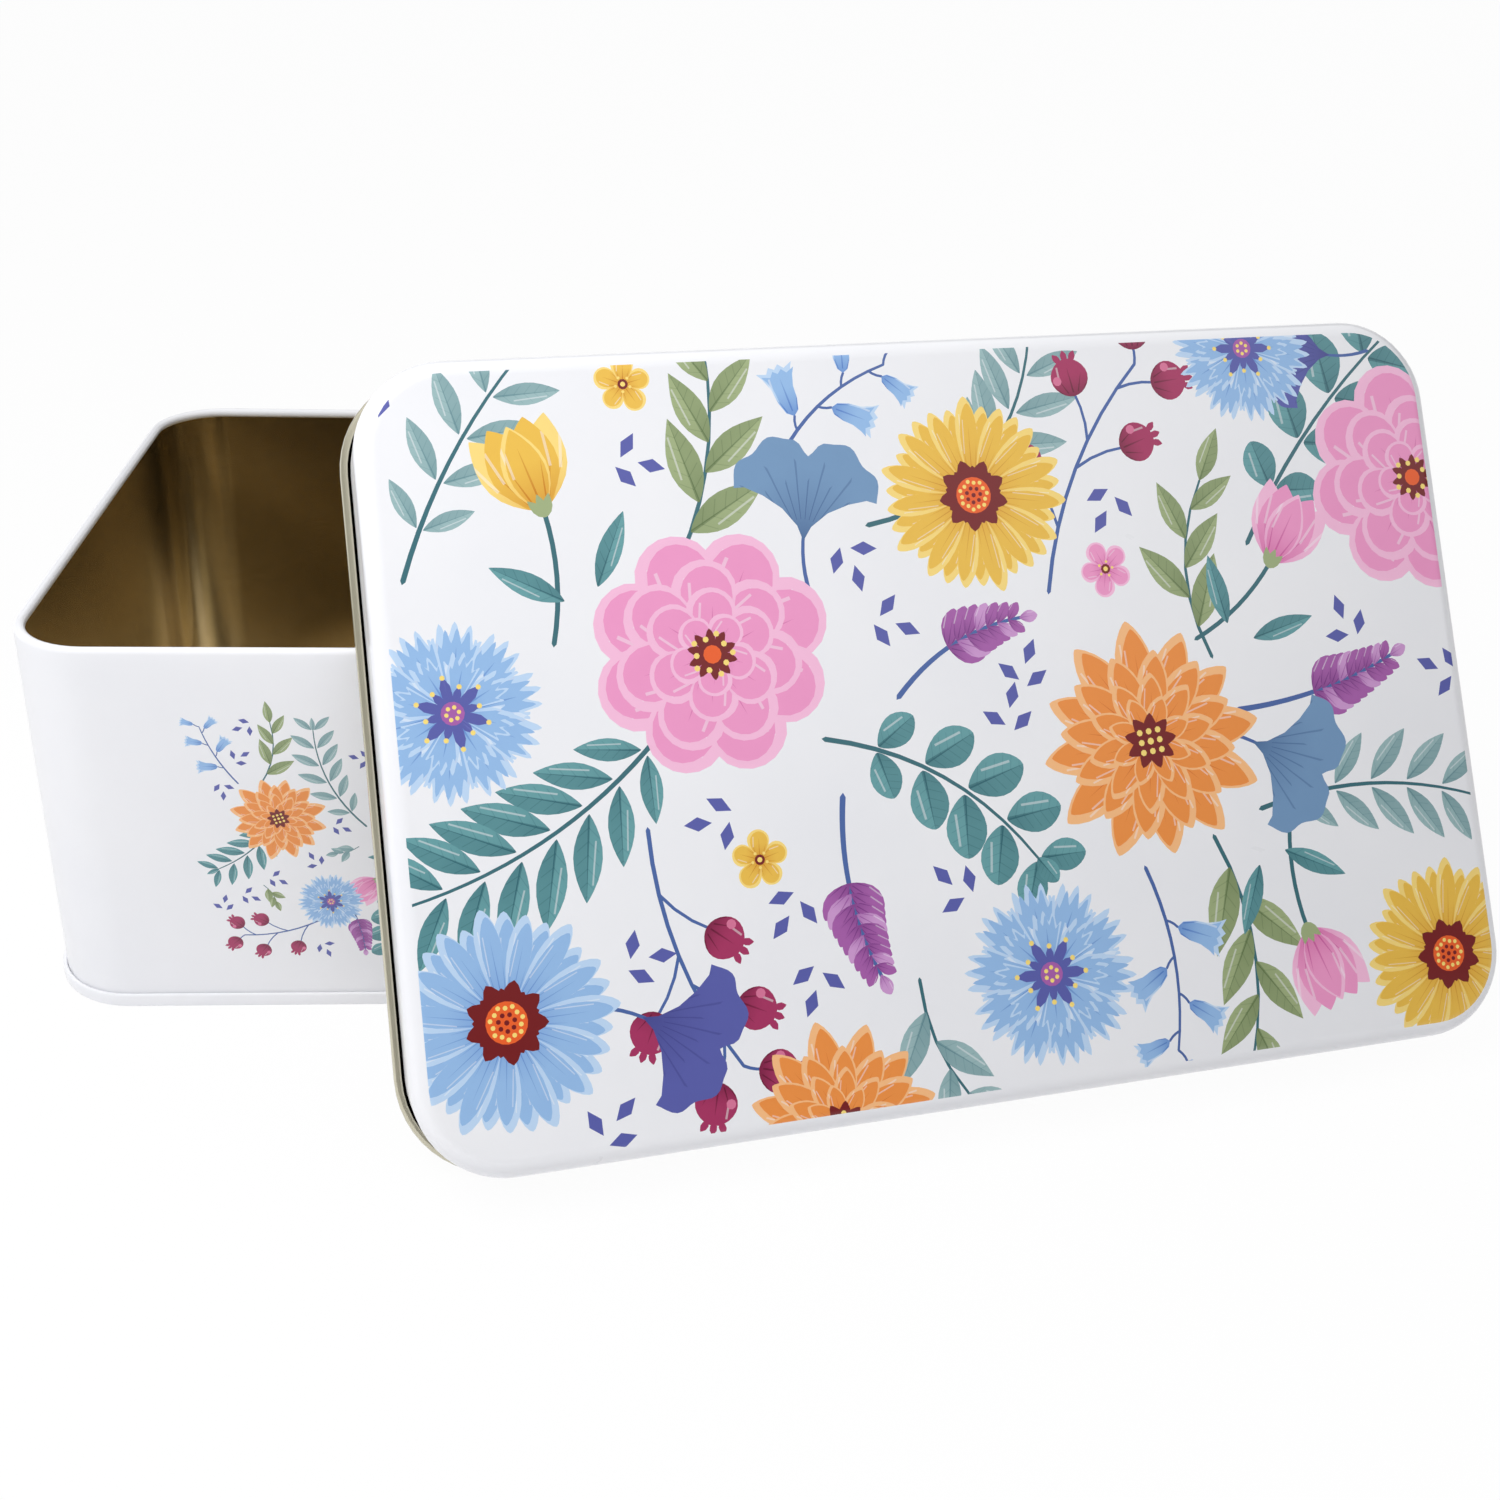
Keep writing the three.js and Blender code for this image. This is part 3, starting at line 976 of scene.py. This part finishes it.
# The wall's print is the same hand at a smaller scale, with nothing cut off
def wallPrint():
    art = Print(0.41, 36.3j)
    leafPairs(art, -128 + 18j, -158 - 14j, 0.2, 13, "teal", 6)
    leafPairs(art, -92 + 8j, -112 + 56j, 0.2, 13, "mist", 6)
    leafPairs(art, -60 - 8j, -84 - 56j, -0.15, 13, "teal", 6, 0.36, 0.95)
    leafPairs(art, -8 + 24j, -44 + 56j, 0.2, 13, "teal", 6)
    leafPairs(art, 46 - 16j, 24 - 58j, 0.15, 13, "mist", 6)
    leafPairs(art, 96 + 26j, 66 + 58j, -0.2, 13, "teal", 6, 0.36, 0.95)
    leafPairs(art, 128 - 24j, 92 - 54j, -0.2, 13, "teal", 6)
    willow(art, -136 + 30j, -130 + 60j, -0.2, 14, "sage", 5)
    willow(art, -24 - 34j, -2 - 60j, 0.2, 14, "sage", 5)
    willow(art, 44 + 12j, 52 + 54j, 0.2, 14, "sage", 6)
    willow(art, 110 - 4j, 156 - 8j, -0.1, 14, "mist", 5)
    berries(art, -112 - 40j, -150 - 50j, 0.15, 7, "berry")
    berries(art, 8 + 30j, 30 + 58j, 0.1, 7, "berry")
    berries(art, 128 + 30j, 152 + 58j, -0.1, 7, "berry")
    spike(art, -104 - 28j, -96 - 60j, 0.1, 7.5, "plum")
    spike(art, -60 + 30j, -72 + 58j, -0.1, 7.5, "plum")
    spike(art, 66 - 14j, 72 - 56j, 0.1, 7.5, "plum")
    bells(art, -146 + 30j, -160 + 58j, 0.1, 9, "sky")
    bells(art, -30 - 10j, -40 - 52j, -0.1, 9, "sky")
    bells(art, 110 + 28j, 104 + 60j, 0.1, 9, "sky")
    tulip(art, -88 - 20j, 16, -2.4, "pink")
    tulip(art, 74 + 26j, 16, 1.7, "yellow")
    fanLeaf(art, -40 + 22j, 18, 0.7, "slate")
    fanLeaf(art, 20 - 10j, 18, -2.2, "indigo")
    fanLeaf(art, 150 - 30j, 14, -1.2, "slate")
    dahlia(art, -130 + 12j, 21, 0.3, "orange")
    cornflower(art, -110 - 32j, 15, 0.1, "sky")
    camellia(art, -62 + 8j, 22, 0.2, "pink")
    daisy(art, -18 - 22j, 17, 0.4, "yellow")
    cornflower(art, 4 + 26j, 15, 0.2, "sky")
    dahlia(art, 46 - 4j, 20, 0.6, "orange")
    camellia(art, 96 + 4j, 21, 0, "pink")
    daisy(art, 130 - 28j, 16, 0.1, "yellow")
    daisy(art, 132 + 26j, 15, 0.2, "sky")
    fillGaps(art, 158, 60, 9)
    return art


print("print drawn")

# The double seam, where the bottom's edge is folded round the foot of the wall in layers
seam = {
    "height": 2.7 * mm,
    "layerGap": 0.05 * mm,
    "hookGap": 0.2 * mm,
}
layer = sheet["thickness"] + seam["layerGap"]  # from one sheet's middle to the next one's
wallLine = -sheet["thickness"] / 2  # the middle of the wall's sheet
plateLine = sheet["thickness"] / 2  # the middle of the lowest sheet, which the tin stands on
lowerTurn = plateLine + 2 * layer  # the height that the wall's hook turns about
upperTurn = seam["height"] - sheet["thickness"] / 2 - layer  # and the bottom's


def curlEnd(radius, gap):
    return math.degrees(math.acos((radius - sheet["thickness"] - gap) / radius))


# The wall: its outside size, the roll of its rim, the lock seam at its back, and the edges of its
# print in millimetres
wall = {
    "length": 198.5 * mm,
    "width": 132.2 * mm,
    "height": 75 * mm,
    "corner": 15 * mm,
    "curl": 2 * mm,
    "curlGap": 0.12 * mm,
    "lockSeamWidth": 5 * mm,
    "lockSeamRise": 0.5 * mm,
    "lockSeamEnd": 0.4 * mm,
    "lockSeamLine": 0.1 * mm,
    "lockSeamRamp": 0.15 * mm,
    "printLeft": -75,
    "printRight": 75,
    "printFoot": 6,
    "printTop": 68,
}
low, high = (Vector(corner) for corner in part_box("body_wall"))
boxPlace = Matrix.Translation(((low.x + high.x) / 2, (low.y + high.y) / 2, 0))


def wallPiece():
    radius = wall["curl"] / 2
    seamTop = wall["height"] - wall["curl"] - wall["lockSeamEnd"]
    seamFoot = bottom["panelRise"] + sheet["thickness"] + wall["lockSeamEnd"]
    ramp = wall["lockSeamRamp"]
    tiny = 0.01 * mm
    curlCentre = (-radius, wall["height"] - radius)
    hookCentre = (wallLine + layer, lowerTurn)
    curlStart = 360 - curlEnd(radius, wall["curlGap"])
    path = arcPath(curlCentre, radius - sheet["thickness"] / 2, curlStart, 0, sheet["curlSteps"])
    for height in (seamTop + ramp, seamTop, seamFoot, seamFoot - ramp):
        path.append(Vector((wallLine, height)))
    path += arcPath(hookCentre, layer, 180, 360, sheet["hookSteps"])
    path.append(Vector((wallLine + 2 * layer, upperTurn - seam["hookGap"])))
    outline = sheetOutline(path)
    half = wall["lockSeamWidth"] / 2
    line = wall["lockSeamLine"]
    stops = (half + ramp, half, 2 * line - half, line - half, -half, -half - ramp)
    stations = cornerStations(wall["length"], wall["width"], wall["corner"], stops)

    # The lock seam stands out inside the back, and its fold shows outside as a thin line
    def lockSeam(x, height, side):
        if side and abs(x) <= half and seamFoot - tiny < height < seamTop + tiny:
            return -wall["lockSeamRise"]
        inSeam = seamFoot - ramp - tiny < height < seamTop + ramp + tiny
        return -line if inSeam and not side and abs(x - line + half) < tiny else 0

    # The wall's outer face at the front is left open for the sheet that carries the print
    skin = Skin()
    farStart = len(path) + 2 * sheet["endSteps"] - 1
    wallStrip = farStart + len(path) - 4 - sheet["curlSteps"]
    frontSide = 3 * (sheet["cornerSteps"] + 1) - 1 + len(stops)

    def printedStrip(index, step):
        return (index, step) == (frontSide, wallStrip)

    grid = skin.sweep(stations, outline, (0, 1), True, lockSeam, printedStrip)
    leftLow, leftHigh = grid[frontSide][wallStrip], grid[frontSide][wallStrip + 1]
    rightLow, rightHigh = grid[frontSide + 1][wallStrip], grid[frontSide + 1][wallStrip + 1]
    border = [leftLow, rightLow, rightHigh, leftHigh]
    front = -wall["width"] / 2

    def onto(spot):
        return Vector((spot.real * mm, front, spot.imag * mm)), Vector((0, -1, 0))

    borderSpots = [complex(skin.points[i].x / mm, skin.points[i].z / mm) for i in border]
    left, right, foot, top = (wall["print" + name] for name in ("Left", "Right", "Foot", "Top"))
    window = [complex(x, z) for x, z in ((left, foot), (right, foot), (right, top), (left, top))]
    skin.printed(border, borderSpots, [], window, wallPrint(), onto, 2)
    finishes = [
        lacquerFinish("wall_lacquer", False),
        goldFinish("wall_gold_lacquer", "box", upGrain),
        lacquerFinish("wall_print", True),
    ]
    skin.piece("wall_of_tinplate", "box", finishes, boxPlace, ["body_wall"])


# The bottom: how far its panel is raised, and the bend round the panel
bottom = {
    "panelRise": 3 * mm,
    "panelBend": 0.6 * mm,
}


def bottomPiece():
    panelLine = bottom["panelRise"] + plateLine
    panelBend = (wallLine - layer - bottom["panelBend"], panelLine - bottom["panelBend"])
    path = arcPath(panelBend, bottom["panelBend"], 90, 0, sheet["bendSteps"])
    path += arcPath((wallLine, plateLine + layer), layer, 180, 270, sheet["bendSteps"])
    path += arcPath((wallLine + 2 * layer, plateLine + layer), layer, 270, 360, sheet["bendSteps"])
    path += arcPath((wallLine + 2 * layer, upperTurn), layer, 0, 180, sheet["hookSteps"])
    path.append(Vector((wallLine + layer, lowerTurn + seam["hookGap"])))
    skin = Skin()
    stations = cornerStations(wall["length"], wall["width"], wall["corner"])
    grid = skin.sweep(stations, sheetOutline(path, False), (1, 0), False)
    skin.face([row[0] for row in grid][::-1], 0)
    skin.face([row[-1] for row in grid], 1)
    finishes = [
        lacquerFinish("bottom_lacquer", False),
        goldFinish("bottom_gold_lacquer", "box", acrossGrain),
    ]
    skin.piece("bottom_of_tinplate", "box", finishes, boxPlace, ["bottom_plate"])


# The lid: its depth, the radius of its edge and its outward roll
lid = {
    "gap": 0.5 * mm,
    "depth": 18 * mm,
    "edge": 3.6 * mm,
    "curl": 2.06 * mm,
    "curlGap": 0.6 * mm,
    "printInset": 2.8 * mm,
    "ringInsets": [1.6 * mm, 2.2 * mm, 2.8 * mm, 3.2 * mm, 3.6 * mm],
    "borderInset": 1.1 * mm,
}
lidMount = next(mount for mount in frame["record"]["mounts"] if mount["name"] == "lid_face")
lidNormal = Vector(lidMount["axis"]).normalized()
lidYaw = math.atan2(lidNormal.x, -lidNormal.y)
lidLean = math.acos(lidNormal.z)
lidTurn = Matrix.Rotation(lidYaw, 4, "Z") @ Matrix.Rotation(lidLean, 4, "X")
lidPlace = Matrix.Translation(lidMount["pos_m"]) @ lidTurn


def lidPiece():
    grow = lid["gap"] + sheet["thickness"]
    length, width = wall["length"] + 2 * grow, wall["width"] + 2 * grow
    corner = wall["corner"] + grow
    radius = lid["curl"] / 2
    curlLine = radius - sheet["thickness"] / 2
    edge, half = lid["edge"], sheet["thickness"] / 2
    path = arcPath((-edge, -edge), edge - half, 90, 0, sheet["edgeSteps"])
    curlCentre = (curlLine + wallLine, radius - lid["depth"])
    curlStop = 540 - curlEnd(radius, lid["curlGap"])
    path += arcPath(curlCentre, curlLine, 180, curlStop, sheet["curlSteps"])
    outline = sheetOutline(path, False)
    # The white ends where the roll starts, and the inside of the roll, where the white sheet lies
    # in the groove, is painted near-black as shade
    rollStart = len(outline) - 2 - sheet["edgeSteps"]
    outline = [(spot, side or 2 * (step < rollStart)) for step, (spot, side) in enumerate(outline)]

    def faceHeight(out):
        overEdge = edge + min(max(out, -edge), 0)
        return -edge + math.sqrt(max(edge ** 2 - overEdge ** 2, 0))

    # The sheet that carries the print starts at this border, on the rounded edge
    borderOut = -lid["borderInset"]
    keep = [
        (spot, side) for spot, side in outline
        if side == 1 or spot.x > borderOut or spot.y < -edge
    ]
    keep.append((Vector((borderOut, faceHeight(borderOut))), 0))
    stations = cornerStations(length, width, corner)
    skin = Skin()
    grid = skin.sweep(stations, keep, (0, 1, 3), False)
    skin.face([row[0] for row in grid][::-1], 1)
    border = [row[-1] for row in grid]
    borderSpots = [complex(skin.points[i].x / mm, skin.points[i].y / mm) for i in border]

    def plan(out):
        spots = [centre + way * (radius + out) for centre, way, radius in stations]
        return [complex(spot.x / mm, spot.y / mm) for spot in spots]

    def onto(spot):
        x, y = spot.real * mm, spot.imag * mm
        overX, overY = abs(x) - (length / 2 - corner), abs(y) - (width / 2 - corner)
        if overX > 0 and overY > 0:
            out = math.hypot(overX, overY) - corner
            way = Vector((math.copysign(overX, x), math.copysign(overY, y), 0)).normalized()
        else:
            out = max(overX, overY) - corner
            way = Vector((math.copysign(1, x), 0, 0))
            if overX <= overY:
                way = Vector((0, math.copysign(1, y), 0))
        lean = min(max((out + edge) / edge, 0), 1)
        normal = way * lean + Vector((0, 0, math.sqrt(1 - lean ** 2)))
        return Vector((x, y, faceHeight(out))), normal

    for index, spot in zip(border, borderSpots):
        skin.normals[index] = onto(spot)[1]
    rings = [plan(-inset) for inset in lid["ringInsets"]]
    skin.printed(border, borderSpots, rings, plan(-lid["printInset"]), lidPrint(), onto, 2)
    finishes = [
        lacquerFinish("lid_lacquer", False),
        goldFinish("lid_gold_lacquer", "lid", acrossGrain),
        lacquerFinish("lid_print", True),
        # The inside of the roll gets the near-black rolled tone: painted shade of the groove
        goldFinish("lid_roll_painted_shade", "rolled", acrossGrain),
    ]
    skin.piece("lid_of_tinplate", "lid", finishes, lidPlace, ["lid"])


wallPiece()
bottomPiece()
lidPiece()

# The studio, in metres and watts. Heights in the sky run from 0 at the horizon to 1 overhead.
stage = {
    "floorSize": 8,
    "floorWhite": (0.96, 0.96, 0.965),
    "floorShade": (0.95, 0.95, 0.955),
    "floorGlow": 0.96,
    "worldStrength": 0.38,
    "backdropStrength": 0.6,
    "horizonTop": 0.1,
    "horizonFade": 0.17,
    "ceilingStart": 0.41,
    "ceilingFade": 0.14,
    "roomLevel": 0.03,
    "roomWay": (-0.6, -0.8, 0),
    "roomEdge": 0.2,
    "roomFade": 0.5,
    "floorGrain": 300,
    "keyPlace": (-0.22, -0.22, 0.48),
    "keySize": 0.35,
    "keyPower": 2.1,
}


def floorFinish():
    finish = Finish(bpy.data.materials.new("studio_floor"))
    seen, mirrored = finish.ray("Is Camera Ray"), finish.ray("Is Glossy Ray")
    grain = finish.noise(finish.objectPlace(), stage["floorGrain"], 3)
    colour = finish.mix(grain, linear(stage["floorWhite"]), linear(stage["floorShade"]))
    matt = finish.node("ShaderNodeBsdfDiffuse", {}, {"Color": colour})
    glow = finish.node("ShaderNodeEmission", {}, {"Color": (1.0, 1.0, 1.0), "Strength": 1.0})
    share = (seen + mirrored).clamped() * stage["floorGlow"]
    shown = finish.node("ShaderNodeMixShader", {}, {0: share, 1: matt, 2: glow})
    finish.node("ShaderNodeOutputMaterial", {}, {"Surface": shown})
    return finish.holder


# White where it is seen. What metal mirrors is a white horizon, a dark room above it and a bright
# ceiling, all dark towards roomWay. As a source of light it is dimmer, and strongest at the back.
def studioWorld():
    sky = Finish(bpy.data.worlds.new("studio"))
    seen, mirrored = sky.ray("Is Camera Ray"), sky.ray("Is Glossy Ray")
    way = sky.node("ShaderNodeTexCoord", {}, {}, "Generated")
    height = sky.axis(way, "Z")
    behind = sky.axis(way, "Y").clamped()
    horizon = 1 - ((height - stage["horizonTop"]) / stage["horizonFade"]).clamped()
    ceiling = ((height - stage["ceilingStart"]) / stage["ceilingFade"]).clamped()
    dotProduct = {"operation": "DOT_PRODUCT"}
    facing = sky.node("ShaderNodeVectorMath", dotProduct, {0: way, 1: stage["roomWay"]}, "Value")
    inRoom = ((facing - stage["roomEdge"]) / stage["roomFade"]).clamped()
    reflected = (horizon + ceiling + stage["roomLevel"]).clamped() * (1 - inRoom)
    given = behind * stage["backdropStrength"] + stage["worldStrength"]
    level = seen + mirrored * reflected + (1 - seen - mirrored) * given
    light = sky.node("ShaderNodeBackground", {}, {"Color": (1.0, 1.0, 1.0), "Strength": level})
    sky.node("ShaderNodeOutputWorld", {}, {"Surface": light})
    return sky.holder


def setStage():
    half = stage["floorSize"] / 2
    mesh = bpy.data.meshes.new("floor")
    corners = [(-half, -half, 0), (half, -half, 0), (half, half, 0), (-half, half, 0)]
    mesh.from_pydata(corners, [], [(0, 1, 2, 3)])
    mesh.materials.append(floorFinish())
    floor = bpy.data.objects.new("floor", mesh)
    bpy.context.scene.collection.objects.link(floor)
    lamp = bpy.data.objects.new("key_light", bpy.data.lights.new("key_light", "AREA"))
    lamp.data.size = stage["keySize"]
    lamp.data.energy = stage["keyPower"]
    lamp.location = stage["keyPlace"]
    lamp.rotation_euler = (Vector(stage["keyPlace"]) * -1).to_track_quat("-Z", "Y").to_euler()
    lamp.visible_camera = False
    lamp.visible_glossy = False
    bpy.context.scene.collection.objects.link(lamp)
    bpy.context.scene.world = studioWorld()
    bpy.context.scene.view_settings.view_transform = "Standard"


setStage()
print("stage set")
